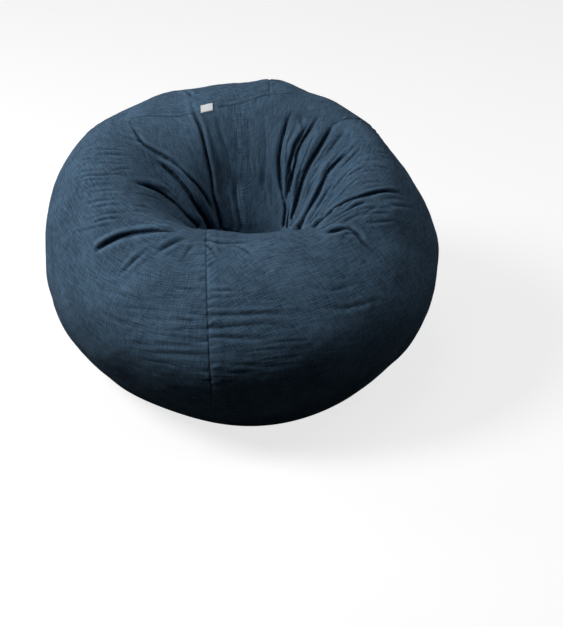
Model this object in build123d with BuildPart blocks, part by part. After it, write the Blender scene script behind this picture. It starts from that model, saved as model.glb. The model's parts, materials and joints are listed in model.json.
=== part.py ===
from build123d import *
import os
from math import acos, cos, degrees, hypot, radians, sin, tan

# Round bean bag chair: a sewn cloth cover over a zipped liner that holds loose beads.
# Millimetres. +Z is up, the seat opens towards -Y, and the origin is under the middle on the floor.

# Driving dimensions of the bag
bag_width = 1050.0  # across the belly
belly_height = 345.0  # widest line above the floor, at the sides
base_width = 790.0  # flat that rests on the floor, side to side
rim_radius = 275.0  # crest of the rolled rim from the seat's axis
rim_inner_radius = 110.0  # rounding from the crest down into the seat
seat_depth = 330.0  # crest to the bottom of the seat, along its axis
seat_wall_lean = 20.0  # degrees that the seat's wall opens outwards
seat_tilt = 17.0  # degrees that the seat's axis leans towards the front

# Cloth layers
cover_thickness = 1.2
liner_thickness = 0.8
layer_gap = 0.4  # cover to liner, and liner to beads
seam_width = 1.6  # line of thread between two panels

# Panel layout, as seen along the seat's axis for the top panel and from above for the seams
top_panel_half_width = 300.0
top_panel_half_depth = 200.0
top_panel_corner = 120.0
top_panel_shift = 77.0  # towards the back, so that its back seam lies on the crest
front_seam_x = -85.0
front_seam_lean = 2.0  # degrees from upright
back_seam_x = 80.0
side_seam_y = 34.0  # where both side seams would meet, under the top panel
side_seam_turn = 25.0  # degrees that each side seam runs back as it goes out
liner_seam_height = 30.0

# Blank woven label, folded into the top seam
label_x = -90.0
label_width = 36.0
label_height = 25.0
label_thickness = 0.8
label_clearance = 0.3

# Zips, both across the base along X
zip_length = 600.0
cover_zip_y = 0.0
liner_zip_y = -130.0
hem_width = 16.0
hem_layers = 3
tape_width = 14.0
tape_thickness = 0.6
coil_width = 2.4  # across the zip
coil_height = 2.4
coil_rounding = 0.6
coil_gap = 2.0  # between the two rows, where the slider's bridge runs
slider_length = 14.0
slider_plate = 1.0
slider_bridge = 1.4
slider_flange = 0.8
slider_clearance = 0.2
slider_lug_height = 1.2
slider_lug_width = 3.0
stop_length = 4.0

# Sizes that follow from the driving dimensions
tilt = radians(seat_tilt)
lean = radians(seat_wall_lean)
belly_radius = bag_width / 2
roll_radius = belly_radius - rim_radius
base_step = belly_radius - base_width / 2
belly_drop = belly_height / cos(tilt)
lower_radius = (base_step**2 + belly_drop**2) / (2 * base_step)
lower_centre = belly_radius - lower_radius
bowl_and_rim = (rim_radius - seat_depth * tan(lean)) / (cos(lean) - tan(lean) * (1 - sin(lean)))
bowl_radius = bowl_and_rim - rim_inner_radius
bowl_centre = roll_radius - seat_depth + bowl_radius
front_reach = rim_radius * cos(tilt) + roll_radius
back_reach = lower_centre * cos(tilt) + lower_radius
axis_y = (front_reach - back_reach) / 2
beyond = 2 * bag_width  # tools reach past the bag on every side
under_end = 3.0  # degrees short of the axis, under the floor, where the profile's arc ends

# The seat's axis, and the plane through it that holds the bag's profile
seat_origin = Vector(0, axis_y, belly_height)
seat_up = Vector(0, -sin(tilt), cos(tilt))
seat_back = Vector(0, cos(tilt), sin(tilt))
profile_plane = Plane(origin=seat_origin, x_dir=-seat_back, z_dir=(-1, 0, 0))

# Depth of each layer below the cover's outer face
liner_outside = cover_thickness + layer_gap
liner_inside = liner_outside + liner_thickness
fill_outside = liner_inside + layer_gap


def bag_solid(inset, floor):
    """The whole bag, drawn in by inset: a rolled rim round a tilted seat, cut flat at the floor's height."""
    under_radius = lower_radius - inset
    under_angle = degrees(acos(max(-lower_centre, 0) / under_radius)) - under_end
    with BuildPart() as bag:
        with BuildSketch(profile_plane):
            with BuildLine():
                under = CenterArc((lower_centre, 0), under_radius, -under_angle, under_angle)
                CenterArc((rim_radius, 0), roll_radius - inset, 0, 90)
                rim = CenterArc(
                    (rim_radius, roll_radius - rim_inner_radius),
                    rim_inner_radius - inset,
                    90,
                    90 - seat_wall_lean,
                )
                bowl = CenterArc((0, bowl_centre), bowl_radius + inset, -90, 90 - seat_wall_lean)
                Line(rim @ 1, bowl @ 1)
                Polyline(bowl @ 0, (0, (under @ 0).Y), under @ 0)
            make_face()
        revolve(axis=Axis(seat_origin, seat_up))
        split(bisect_by=Plane.XY.offset(floor), keep=Keep.TOP)
    return bag.part


def wall_between(outer_inset, inner_inset, floor):
    """A layer of cloth between two depths, above the floor's height."""
    with BuildPart() as wall:
        add(bag_solid(outer_inset, floor))
        add(bag_solid(inner_inset, floor), mode=Mode.SUBTRACT)
    return wall.part


def ring_between(outer_inset, inner_inset, floor, top):
    """The lowest band of such a layer, up to the top's height."""
    with BuildPart() as core:
        add(bag_solid(inner_inset, floor))
        split(bisect_by=Plane.XY.offset(top), keep=Keep.BOTTOM)
    with BuildPart() as ring:
        add(bag_solid(outer_inset, floor))
        split(bisect_by=Plane.XY.offset(top), keep=Keep.BOTTOM)
        add(core.part, mode=Mode.SUBTRACT)
    return ring.part


def top_panel_tool(margin):
    """The column whose wall cuts the top panel's edge; margin widens it."""
    below_seat = roll_radius - seat_depth - rim_inner_radius
    with BuildPart() as tool:
        with BuildSketch(Plane(origin=seat_origin + seat_up * below_seat, x_dir=(1, 0, 0), z_dir=seat_up)):
            with Locations((0, top_panel_shift)):
                RectangleRounded(
                    2 * (top_panel_half_width + margin),
                    2 * (top_panel_half_depth + margin),
                    top_panel_corner + margin,
                )
        extrude(amount=beyond)
    return tool.part


def export(part, name):
    part.label = name
    export_step(part, f"parts/{name}.step")


os.makedirs("parts", exist_ok=True)

# Seam planes, each facing +X or +Y
half_seam = seam_width / 2
front_seam_plane = Plane(
    origin=(front_seam_x, 0, belly_height),
    x_dir=(0, 1, 0),
    z_dir=(cos(radians(front_seam_lean)), 0, sin(radians(front_seam_lean))),
)
back_seam_plane = Plane.YZ.offset(back_seam_x)
seam_turn = radians(side_seam_turn)
left_seam_plane = Plane(
    origin=(0, side_seam_y, 0),
    x_dir=(-cos(seam_turn), sin(seam_turn), 0),
    z_dir=(sin(seam_turn), cos(seam_turn), 0),
)
right_seam_plane = Plane(
    origin=(0, side_seam_y, 0),
    x_dir=(-cos(seam_turn), -sin(seam_turn), 0),
    z_dir=(-sin(seam_turn), cos(seam_turn), 0),
)
base_seam_top = cover_thickness + seam_width

# The cover's wall above the base seam, and what is left of it round the top panel
cover_wall = wall_between(0, cover_thickness, base_seam_top)
with BuildPart() as cover_sides:
    add(cover_wall)
    add(top_panel_tool(half_seam), mode=Mode.SUBTRACT)

# Top panel, which lines the back and the bottom of the seat
with BuildPart() as top_panel:
    add(cover_wall)
    add(top_panel_tool(-half_seam), mode=Mode.INTERSECT)
export(top_panel.part, "top_panel")

with BuildPart() as top_seam_tool:
    add(top_panel_tool(half_seam))
    add(top_panel_tool(-half_seam), mode=Mode.SUBTRACT)
with BuildPart() as top_seam_thread:
    add(cover_wall)
    add(top_seam_tool.part, mode=Mode.INTERSECT)
export(top_seam_thread.part, "top_seam_thread")

# Side panels: two in front of the side seams and two behind, each side of an upright seam
side_panels = {
    "side_panel_front_left": (left_seam_plane, Keep.BOTTOM, front_seam_plane, Keep.BOTTOM),
    "side_panel_front_right": (right_seam_plane, Keep.BOTTOM, front_seam_plane, Keep.TOP),
    "side_panel_back_left": (left_seam_plane, Keep.TOP, back_seam_plane, Keep.BOTTOM),
    "side_panel_back_right": (right_seam_plane, Keep.TOP, back_seam_plane, Keep.TOP),
}
shift_of = {Keep.BOTTOM: -half_seam, Keep.TOP: half_seam}
for name, (side_plane, end, upright_plane, side) in side_panels.items():
    with BuildPart() as side_panel:
        add(cover_sides.part)
        split(bisect_by=side_plane.offset(shift_of[end]), keep=end)
        split(bisect_by=upright_plane.offset(shift_of[side]), keep=side)
    export(side_panel.part, name)

# Thread in the seams between the side panels
upright_threads = {
    "front_seam_thread": (left_seam_plane, Keep.BOTTOM, front_seam_plane),
    "back_seam_thread": (right_seam_plane, Keep.TOP, back_seam_plane),
}
for name, (side_plane, end, upright_plane) in upright_threads.items():
    with BuildPart() as thread:
        add(cover_sides.part)
        split(bisect_by=side_plane.offset(shift_of[end]), keep=end)
        split(bisect_by=upright_plane.offset(half_seam), keep=Keep.BOTTOM)
        split(bisect_by=upright_plane.offset(-half_seam), keep=Keep.TOP)
    export(thread.part, name)

side_threads = {
    "left_seam_thread": (left_seam_plane, Keep.BOTTOM),
    "right_seam_thread": (right_seam_plane, Keep.TOP),
}
for name, (side_plane, side) in side_threads.items():
    with BuildPart() as thread:
        add(cover_sides.part)
        split(bisect_by=side_plane.offset(half_seam), keep=Keep.BOTTOM)
        split(bisect_by=side_plane.offset(-half_seam), keep=Keep.TOP)
        split(bisect_by=Plane.YZ, keep=side)
    export(thread.part, name)

export(ring_between(0, cover_thickness, cover_thickness, base_seam_top), "base_seam_thread")

# Heights and widths that both zips share
rows_inner = coil_gap / 2
rows_outer = rows_inner + coil_width
slot_half = rows_outer + slider_clearance + slider_flange + 2 * slider_clearance
slider_half = rows_outer + slider_clearance + slider_flange
slider_half_height = coil_height / 2 + slider_clearance + slider_plate
slot_length = zip_length + 2 * stop_length


def zip_middle(underside, panel_thickness):
    """Height of the tape's middle above a panel whose hem it lies on."""
    return underside + hem_layers * panel_thickness + tape_thickness / 2


def base_half(plate, y, underside, panel_thickness, front):
    """One half of a base, with a slot for the zip and a folded hem beside it."""
    sign = -1 if front else 1
    hem_top = hem_layers * panel_thickness
    with BuildPart() as half:
        add(plate)
        split(
            bisect_by=Plane(origin=(0, y + sign * half_seam, 0), x_dir=(-1, 0, 0), z_dir=(0, 1, 0)),
            keep=Keep.BOTTOM if front else Keep.TOP,
        )
        with BuildSketch(Plane.XY.offset(underside)):
            with Locations((0, y + sign * (slot_half + hem_width / 2))):
                Rectangle(slot_length, hem_width)
        extrude(amount=hem_top)
        with BuildSketch(Plane.XY.offset(underside)):
            with Locations((0, y)):
                Rectangle(slot_length, 2 * slot_half)
        extrude(amount=hem_top, mode=Mode.SUBTRACT)
    return half.part


def zip_tape(y, middle, sign):
    """One side's tape, which runs from under the hem to the row of coil."""
    with BuildPart() as tape:
        with BuildSketch(Plane.XY.offset(middle - tape_thickness / 2)):
            with Locations((0, y + sign * (rows_outer + tape_width / 2))):
                Rectangle(zip_length + 2 * stop_length, tape_width)
        extrude(amount=tape_thickness)
    return tape.part


def zip_coil(y, middle, sign):
    """One row of nylon coil along the tape's edge, as a plain rounded rail."""
    with BuildPart() as row:
        with BuildSketch(Plane.YZ.offset(-zip_length / 2)):
            with Locations((y + sign * (rows_inner + rows_outer) / 2, middle)):
                RectangleRounded(coil_width, coil_height, coil_rounding)
        extrude(amount=zip_length)
    return row.part


def zip_stops(y, middle):
    """The blocks that end the two rows of coil."""
    with BuildPart() as stops:
        with Locations(
            *[(sign * (zip_length + stop_length) / 2, y, middle) for sign in (-1, 1)]
        ):
            Box(stop_length, 2 * rows_outer, coil_height)
    return stops.part


def zip_slider(y, middle, lug_height):
    """A slider without a pull, parked at the closed end: two plates, flanges, a bridge between the rows."""
    parked = -zip_length / 2 + slider_clearance + slider_length / 2
    plate_z = coil_height / 2 + slider_clearance
    flange_height = plate_z - tape_thickness / 2 - slider_clearance
    with BuildPart() as slider:
        with BuildSketch(Plane.XY.offset(middle)):
            with Locations((parked, y)):
                RectangleRounded(slider_length, 2 * slider_half, 2 * slider_flange)
        extrude(amount=slider_half_height, both=True)
        with Locations((parked, y, middle)):
            Box(2 * slider_length, 2 * (slider_half - slider_flange), 2 * plate_z, mode=Mode.SUBTRACT)
            Box(2 * slider_length, 4 * slider_half, 2 * (plate_z - flange_height), mode=Mode.SUBTRACT)
            Box(slider_length / 2, slider_bridge, 2 * plate_z)
        if lug_height:
            with Locations((parked, y, middle - slider_half_height - lug_height / 2)):
                Box(slider_length / 2, slider_lug_width, lug_height)
    return slider.part


def export_zip(name, y, middle, lug_height):
    for side, sign in {"front": -1, "back": 1}.items():
        export(zip_tape(y, middle, sign), f"{name}_tape_{side}")
        export(zip_coil(y, middle, sign), f"{name}_coil_{side}")
    export(zip_stops(y, middle), f"{name}_stops")
    export(zip_slider(y, middle, lug_height), f"{name}_slider")


# The cover's base: two halves on the floor, joined by the zip and by short seams at its ends
with BuildPart() as base_plate:
    add(bag_solid(0, 0))
    split(bisect_by=Plane.XY.offset(cover_thickness), keep=Keep.BOTTOM)
for name, front in {"base_panel_front": True, "base_panel_back": False}.items():
    export(base_half(base_plate.part, cover_zip_y, 0, cover_thickness, front), name)

with BuildPart() as base_centre_seam_thread:
    add(base_plate.part)
    with BuildSketch():
        with Locations((0, cover_zip_y)):
            Rectangle(beyond, seam_width)
            Rectangle(slot_length, seam_width, mode=Mode.SUBTRACT)
    extrude(amount=cover_thickness, mode=Mode.INTERSECT)
export(base_centre_seam_thread.part, "base_centre_seam_thread")

cover_zip_middle = zip_middle(0, cover_thickness)
export_zip("cover_zip", cover_zip_y, cover_zip_middle, slider_lug_height)

# The liner and the beads lie over the zips in shallow channels
liner_zip_middle = zip_middle(liner_outside, liner_thickness)
channel_half_width = slot_half + hem_width + layer_gap
cover_channel_top = cover_zip_middle + slider_half_height + layer_gap
liner_channel_top = liner_zip_middle + slider_half_height + layer_gap
channel_length = slot_length + 2 * layer_gap


def channel(y, top, margin):
    """The space that a zip takes up under what lies on it."""
    with BuildPart() as space:
        with BuildSketch():
            with Locations((0, y)):
                Rectangle(channel_length + 2 * margin, 2 * (channel_half_width + margin))
        extrude(amount=top + margin)
    return space.part


# The liner: a closed bag with a base in two halves round its own zip
with BuildPart() as liner:
    add(bag_solid(liner_outside, liner_outside))
    add(channel(cover_zip_y, cover_channel_top, 0), mode=Mode.SUBTRACT)
with BuildPart() as liner_room:
    add(bag_solid(liner_inside, liner_inside))
    add(channel(cover_zip_y, cover_channel_top, liner_thickness), mode=Mode.SUBTRACT)
with BuildPart() as liner_skin:
    add(liner.part)
    add(liner_room.part, mode=Mode.SUBTRACT)

liner_seam_top = liner_seam_height + seam_width
export(wall_between(liner_outside, liner_inside, liner_seam_top), "liner_upper")
export(ring_between(liner_outside, liner_inside, liner_seam_height, liner_seam_top), "liner_seam_thread")

with BuildPart() as liner_tray:
    add(liner_skin.part)
    split(bisect_by=Plane.XY.offset(liner_seam_height), keep=Keep.BOTTOM)
for name, front in {"liner_base_front": True, "liner_base_back": False}.items():
    export(base_half(liner_tray.part, liner_zip_y, liner_outside, liner_thickness, front), name)

with BuildPart() as liner_centre_seam_thread:
    add(liner_tray.part)
    with BuildSketch():
        with Locations((0, liner_zip_y)):
            Rectangle(beyond, seam_width)
            Rectangle(slot_length, seam_width, mode=Mode.SUBTRACT)
    extrude(amount=beyond, mode=Mode.INTERSECT)
export(liner_centre_seam_thread.part, "liner_centre_seam_thread")

export_zip("liner_zip", liner_zip_y, liner_zip_middle, 0)

# The beads, as the one body that they fill the liner with
with BuildPart() as bead_fill:
    add(bag_solid(fill_outside, fill_outside))
    add(channel(cover_zip_y, cover_channel_top, liner_thickness + layer_gap), mode=Mode.SUBTRACT)
    add(channel(liner_zip_y, liner_channel_top, layer_gap), mode=Mode.SUBTRACT)
export(bead_fill.part, "bead_fill")

# The label lies on the cover behind the top seam and turns about its sewn edge
label_back = top_panel_shift + top_panel_half_depth
label_radius = hypot(label_x, label_back)
label_out = Vector(label_x, 0, 0) * (1 / label_radius) + seat_back * (label_back / label_radius)
label_rounding = roll_radius if label_radius > rim_radius else rim_inner_radius
label_angle = acos((label_radius - rim_radius) / label_rounding)
label_rise = roll_radius - label_rounding + label_rounding * sin(label_angle)
label_normal = label_out * cos(label_angle) + seat_up * sin(label_angle)
label_along = label_out * sin(label_angle) - seat_up * cos(label_angle)
label_foot = seat_origin + label_out * label_radius + seat_up * label_rise
label_hinge = label_foot + label_normal * (label_clearance + label_thickness / 2)
with BuildPart() as label:
    with BuildSketch(Plane(origin=label_hinge, x_dir=label_along.cross(label_normal), z_dir=label_normal)):
        with Locations((0, label_height / 2)):
            Rectangle(label_width, label_height)
    extrude(amount=label_thickness / 2, both=True)
export(label.part, "label")

# Figures for the record
print("label hinge", label_hinge, "axis", label_along.cross(label_normal))
print("zip slider travel", zip_length - slider_length - 2 * slider_clearance)
print("seat bottom", seat_origin + seat_up * (roll_radius - seat_depth))
print("height", belly_height + rim_radius * sin(tilt) + roll_radius)
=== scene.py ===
import json
import math

import bpy
import numpy as np
from mathutils import Matrix, Vector
from mathutils.bvhtree import BVHTree


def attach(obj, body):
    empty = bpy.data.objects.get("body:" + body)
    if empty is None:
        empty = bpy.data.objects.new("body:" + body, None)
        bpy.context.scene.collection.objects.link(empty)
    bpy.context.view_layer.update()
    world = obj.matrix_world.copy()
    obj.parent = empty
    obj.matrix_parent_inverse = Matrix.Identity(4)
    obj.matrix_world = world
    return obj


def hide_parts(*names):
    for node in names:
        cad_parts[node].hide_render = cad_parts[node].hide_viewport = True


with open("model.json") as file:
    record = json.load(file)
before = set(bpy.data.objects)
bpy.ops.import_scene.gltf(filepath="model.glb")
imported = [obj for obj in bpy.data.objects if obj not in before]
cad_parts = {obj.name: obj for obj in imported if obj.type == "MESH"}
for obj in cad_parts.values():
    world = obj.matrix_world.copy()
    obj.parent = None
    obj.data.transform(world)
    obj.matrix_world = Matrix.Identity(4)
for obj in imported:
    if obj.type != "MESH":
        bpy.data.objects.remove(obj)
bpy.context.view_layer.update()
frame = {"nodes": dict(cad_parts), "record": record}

# Photograph and camera. Pixels are the photograph's own.
PHOTO_WIDTH, PHOTO_HEIGHT = 563, 627
BAG_PIXEL = (243.5, 253.0)  # where the bag's middle shows
BAG_MIDDLE = np.array((0.0, 0.0, 0.33))
METRES_PER_PIXEL = 0.00271  # at the bag's middle
CAMERA_DISTANCE = 4.2
CAMERA_ELEVATION = math.radians(30.0)
SENSOR = 36.0  # millimetres along the photograph's longer side

# The bag's form as rings, from the seat's middle over the rim to the floor. Each has a radius and a
# height, in millimetres, at eight places: front, front right, right, back right, back, back left, left and
# front left.
RINGS = (
    ((75, 85, 90, 80, 65, 80, 90, 85), (300,) * 8),
    ((108, 120, 122, 108, 95, 108, 122, 120), (385, 385, 392, 405, 410, 405, 392, 385)),
    ((140, 152, 152, 140, 132, 138, 152, 152), (455, 452, 465, 530, 555, 530, 465, 452)),
    ((182, 208, 228, 202, 172, 195, 228, 208), (500, 498, 540, 622, 648, 617, 540, 500)),
    ((258, 300, 335, 328, 272, 326, 342, 300), (515, 530, 600, 664, 689, 655, 610, 537)),
    ((405, 425, 440, 436, 430, 464, 466, 428), (450, 475, 535, 580, 622, 606, 563, 480)),
    ((510, 518, 525, 520, 520, 532, 530, 520), (300, 325, 362, 395, 415, 402, 370, 325)),
    ((453, 464, 498, 495, 490, 497, 502, 453), (130, 140, 155, 165, 170, 165, 155, 145)),
    ((338, 350, 395, 405, 410, 405, 408, 335), (0,) * 8),
)
SEAT_DIP = 0.012  # the seat's middle below its first ring

# Seams: the upright ones lie in planes, and the top panel's edge is a rounded rectangle seen from above
FRONT_SEAM_X, FRONT_SEAM_LEAN, FRONT_SEAM_Z = -0.085, math.radians(2.0), 0.345
BACK_SEAM_X = 0.080
SIDE_SEAM_Y, SIDE_SEAM_TURN = 0.034, math.radians(25.0)
TOP_PANEL_MIDDLE_Y, TOP_PANEL_HALF_WIDTH, TOP_PANEL_HALF_DEPTH = 0.034, 0.325, 0.152
TOP_PANEL_SQUARENESS = 8.0
TOP_PANEL_SKEW = (0.07, 0.27)  # how much further back its edge runs to the left and right of the label
TOP_PANEL_TAPER = 0.60  # how much narrower the panel is at its front

# Grid of the simulated cloth: columns in each side panel, rows in the top panel and the sides
PANEL_COLUMNS = {"front_right": 98, "back_right": 54, "back_left": 68, "front_left": 80}
TOP_ROWS, SIDE_ROWS = 46, 108
FINE = 3  # the shown mesh has this many rows and columns for each one simulated

# The label's sewn edge, and the directions along it, away from it and out of the label, as in the frame
LABEL_HINGE = np.array((-0.0900141, 0.184901, 0.665238))
LABEL_AXIS = np.array((0.951059, 0.295506, 0.090345))
LABEL_ALONG = np.array((-0.308341, 0.926604, 0.215268))
LABEL_NORMAL = np.array((-0.020098, -0.232603, 0.972364))
LABEL_WIDTH, LABEL_HEIGHT = 0.034, 0.024
LABEL_LEAN = 0.30  # how far the label leans along its sewn edge, as a share of its height

# Light: the floor's glow and its grey, in view and in the light it throws back, light from all round, and
# the lamps, each with its place, what it points at, its power in watts and its size
FLOOR_GLOW, FLOOR_SHOWN, FLOOR_BOUNCE = 0.76, 0.34, 0.05
AMBIENT = 0.03
LAMPS = (
    ("key_lamp", (-2.72, -0.60, 3.22), (0.0, 0.0, 0.35), 124.0, 1.5),
    ("low_lamp", (-3.53, 1.29, 1.72), (0.0, 0.0, 0.35), 27.0, 1.5),
    ("top_lamp", (0.0, -0.6, 4.30), (0.0, 0.0, 0.35), 22.0, 1.8),
    ("side_lamp", (2.83, 0.0, 3.18), (0.0, 0.0, 0.35), 17.0, 1.5),
)


def unit(vectors):
    """Vectors of length 1 in the same directions."""
    return vectors / np.maximum(np.linalg.norm(vectors, axis=-1, keepdims=True), 1e-12)


def summed(steps, axis=0):
    """The running total of steps along an axis, from zero."""
    before = [(0, 0)] * steps.ndim
    before[axis] = (1, 0)
    return np.pad(np.cumsum(steps, axis), before)


def run_along(points):
    """Distance along a line of points."""
    return summed(np.linalg.norm(np.diff(points, axis=0), axis=1))


def sampled(points, place, wanted):
    """A line's points at the wanted places, where place is that of each point given."""
    return np.stack([np.interp(wanted, place, points[:, k]) for k in range(points.shape[1])], -1)


def around(values, angle):
    """A smooth closed curve, in metres, through eight values in millimetres; angle 0 is the front."""
    wave = np.fft.rfft(np.asarray(values, float) / 1000) / 8
    out = np.full(angle.shape, wave[0].real)
    for k in range(1, 5):
        share = 1.0 if k == 4 else 2.0
        out += share * (wave[k].real * np.cos(k * angle) - wave[k].imag * np.sin(k * angle))
    return out


def ring_points(angle):
    """The points of every ring at these angles: the seat's middle first, then the rings."""
    rings = []
    for radii, heights in RINGS:
        radius = around(radii, angle)
        x, y = radius * np.sin(angle), -radius * np.cos(angle)
        rings.append(np.stack((x, y, around(heights, angle)), -1))
    middle = np.broadcast_to((0.0, 0.0, RINGS[0][1][0] / 1000 - SEAT_DIP), rings[0].shape)
    return np.stack([middle, *rings], -2)


def spline_setup():
    """Where each ring lies along the cloth, and the matrix that gives a natural cubic through them."""
    every = ring_points(np.linspace(0, 2 * np.pi, 72, endpoint=False))
    step = np.linalg.norm(np.diff(every, axis=1), axis=-1).mean(0)
    knots = summed(step)
    n = len(knots)
    left = np.eye(n)
    right = np.zeros((n, n))
    for i in range(1, n - 1):
        left[i, i - 1 : i + 2] = step[i - 1], 2 * (step[i - 1] + step[i]), step[i]
        right[i, i - 1 : i + 2] = 6 / step[i - 1], -6 / step[i - 1] - 6 / step[i], 6 / step[i]
    return knots, np.linalg.solve(left, right)


KNOTS, BEND = spline_setup()
CLOTH_LENGTH = KNOTS[-1]  # from the seat's middle to the floor


def form(angle, along):
    """Points of the plain bag at these angles and distances along the cloth."""
    angle, along = np.broadcast_arrays(angle, along)
    shape = angle.shape
    angle, along = angle.ravel(), along.ravel()
    points = ring_points(angle)
    bend = np.einsum("ij,njk->nik", BEND, points)
    i = np.clip(np.searchsorted(KNOTS, along, side="right") - 1, 0, len(KNOTS) - 2)
    step = (KNOTS[i + 1] - KNOTS[i])[:, None]
    b = (along - KNOTS[i])[:, None] / step
    a = 1 - b
    n = np.arange(len(i))
    out = a * points[n, i] + b * points[n, i + 1]
    out += ((a**3 - a) * bend[n, i] + (b**3 - b) * bend[n, i + 1]) * step**2 / 6
    out[:, 2] = np.maximum(out[:, 2], 0.0)
    return out.reshape(*shape, 3)


def first_crossing(values, target, grid):
    """Where each row of values, taken along the grid, first reaches the target from below."""
    past = values >= target
    hit = past.any(1)
    j = np.clip(past.argmax(1), 1, None)
    n = np.arange(len(values))
    low, high = values[n, j - 1], values[n, j]
    share = np.clip((target - low) / np.where(high == low, 1, high - low), 0, 1)
    return np.where(hit, grid[j - 1] + share * (grid[j] - grid[j - 1]), grid[-1])


def seam_angles(along):
    """Angles of the front, right, back and left seams at these distances along the cloth."""
    lean, turn = np.tan(FRONT_SEAM_LEAN), math.tan(SIDE_SEAM_TURN)
    out = []
    for low, high, where in (
        (-1.2, 0.6, lambda p: p[..., 0] + lean * (p[..., 2] - FRONT_SEAM_Z) - FRONT_SEAM_X),
        (0.9, 2.9, lambda p: p[..., 1] - SIDE_SEAM_Y - turn * p[..., 0]),
        (2.5, 3.6, lambda p: BACK_SEAM_X - p[..., 0]),
        (3.5, 5.4, lambda p: SIDE_SEAM_Y - turn * p[..., 0] - p[..., 1]),
    ):
        grid = np.linspace(low, high, 181)
        out.append(first_crossing(where(form(grid[None, :], along[:, None])), 0.0, grid))
    return np.stack(out, -1)


def top_panel_edge(angle):
    """Distance along the cloth at which the top panel ends, at these angles."""
    grid = np.linspace(0.02, CLOTH_LENGTH * 0.62, 160)
    p = form(angle[:, None], grid[None, :])
    past_label = p[..., 0] - LABEL_HINGE[0]
    rounded = np.sqrt(past_label**2 + 0.03**2)
    back = TOP_PANEL_SKEW[0] * (rounded - past_label) / 2 + TOP_PANEL_SKEW[1] * (rounded + past_label) / 2
    level = (p[..., 1] - TOP_PANEL_MIDDLE_Y - back) / TOP_PANEL_HALF_DEPTH
    width = TOP_PANEL_HALF_WIDTH * (1 - TOP_PANEL_TAPER * (1 - np.clip(level, -1, 1)) / 2)
    across = np.abs(p[..., 0] / width) ** TOP_PANEL_SQUARENESS
    deep = np.abs(level) ** TOP_PANEL_SQUARENESS
    return first_crossing(across + deep, 1.0, grid)


def cloth_grid():
    """Angle and distance along the cloth of each [column, row]; columns start at the front seam."""
    counts = list(PANEL_COLUMNS.values())
    columns = sum(counts)
    starts = np.concatenate(((0,), np.cumsum(counts)))
    panel = np.repeat(np.arange(4), counts)
    share = np.concatenate([np.arange(c) / c for c in counts])
    table = np.linspace(0.0, CLOTH_LENGTH, 200)
    seams = seam_angles(table)
    # inside the top panel each seam's angle stays as it is at the panel's edge
    for k in range(4):
        edge = top_panel_edge(np.array([seams[150, k]]))[0]
        for _ in range(3):
            edge = top_panel_edge(np.array([np.interp(edge, table, seams[:, k])]))[0]
        seams[table < edge, k] = np.interp(edge, table, seams[:, k])

    def angles_at(along):
        """Angle of each column at its own distance along the cloth; along is [column, row]."""
        bounds = np.stack([np.interp(along, table, seams[:, k]) for k in range(4)], -1)
        bounds = np.concatenate((bounds, bounds[..., :1] + 2 * np.pi), -1)
        n = np.arange(columns)
        low = bounds[n, :, panel]
        high = bounds[n, :, panel + 1]
        return low + (high - low) * share[:, None]

    edge = np.full((columns, 1), CLOTH_LENGTH * 0.35)
    for _ in range(6):
        edge = top_panel_edge(angles_at(edge)[:, 0])[:, None]
    inner = np.linspace(0, 1, TOP_ROWS + 1)[None, :]
    outer = np.linspace(0, 1, SIDE_ROWS + 1)[None, 1:]
    along = np.concatenate((edge * inner, edge + (CLOTH_LENGTH - edge) * outer), 1)
    angle = angles_at(along)
    # the whole of a column inside the top panel keeps the angle it has at the panel's edge
    angle[:, : TOP_ROWS + 1] = angle[:, TOP_ROWS : TOP_ROWS + 1]
    return angle, along, starts


def normals_of(points):
    """Outward unit normals of a closed [column, row] grid."""
    across = np.roll(points, -1, 0) - np.roll(points, 1, 0)
    down = np.gradient(points, axis=1)
    out = unit(np.cross(down, across))
    out[:, 0] = out[:, 1].mean(0) / np.linalg.norm(out[:, 1].mean(0))
    return out


def camera_axes():
    """Place and axes (right, up, forward) of the photograph's camera, and its focal length in pixels."""
    focal = CAMERA_DISTANCE / METRES_PER_PIXEL
    away = np.array((0.0, -math.cos(CAMERA_ELEVATION), math.sin(CAMERA_ELEVATION)))
    place = BAG_MIDDLE + CAMERA_DISTANCE * away
    right = np.array((1.0, 0.0, 0.0))
    up = np.cross(right, -away)
    forward = -away
    forward = forward - right * (BAG_PIXEL[0] - PHOTO_WIDTH / 2) / focal
    forward = forward + up * (BAG_PIXEL[1] - PHOTO_HEIGHT / 2) / focal
    forward /= np.linalg.norm(forward)
    right = np.cross(forward, (0, 0, 1))
    right /= np.linalg.norm(right)
    return place, right, np.cross(right, forward), forward, focal


CAMERA_PLACE, CAMERA_RIGHT, CAMERA_UP, CAMERA_FORWARD, FOCAL = camera_axes()


def pixel_ray(x, y):
    """The direction in which the camera sees a pixel."""
    ray = CAMERA_FORWARD + CAMERA_RIGHT * (x - PHOTO_WIDTH / 2) / FOCAL
    ray = ray - CAMERA_UP * (y - PHOTO_HEIGHT / 2) / FOCAL
    return ray / np.linalg.norm(ray)


def make_camera():
    data = bpy.data.cameras.new("photo_camera")
    data.sensor_width = SENSOR
    data.lens = FOCAL * SENSOR / max(PHOTO_WIDTH, PHOTO_HEIGHT)
    camera = bpy.data.objects.new("photo_camera", data)
    bpy.context.scene.collection.objects.link(camera)
    turn = Matrix((CAMERA_RIGHT, CAMERA_UP, -CAMERA_FORWARD)).transposed()
    camera.matrix_world = Matrix.Translation(CAMERA_PLACE) @ turn.to_4x4()
    bpy.context.scene.camera = camera


def grid_faces(columns, rows, closed):
    """Quads of a [column, row] grid whose vertices are numbered column by column."""
    count = columns if closed else columns - 1
    i, j = np.meshgrid(np.arange(count), np.arange(rows - 1), indexing="ij")
    i, j = i.ravel(), j.ravel()
    k = (i + 1) % columns
    return np.stack((i * rows + j, i * rows + j + 1, k * rows + j + 1, k * rows + j), -1)


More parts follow.
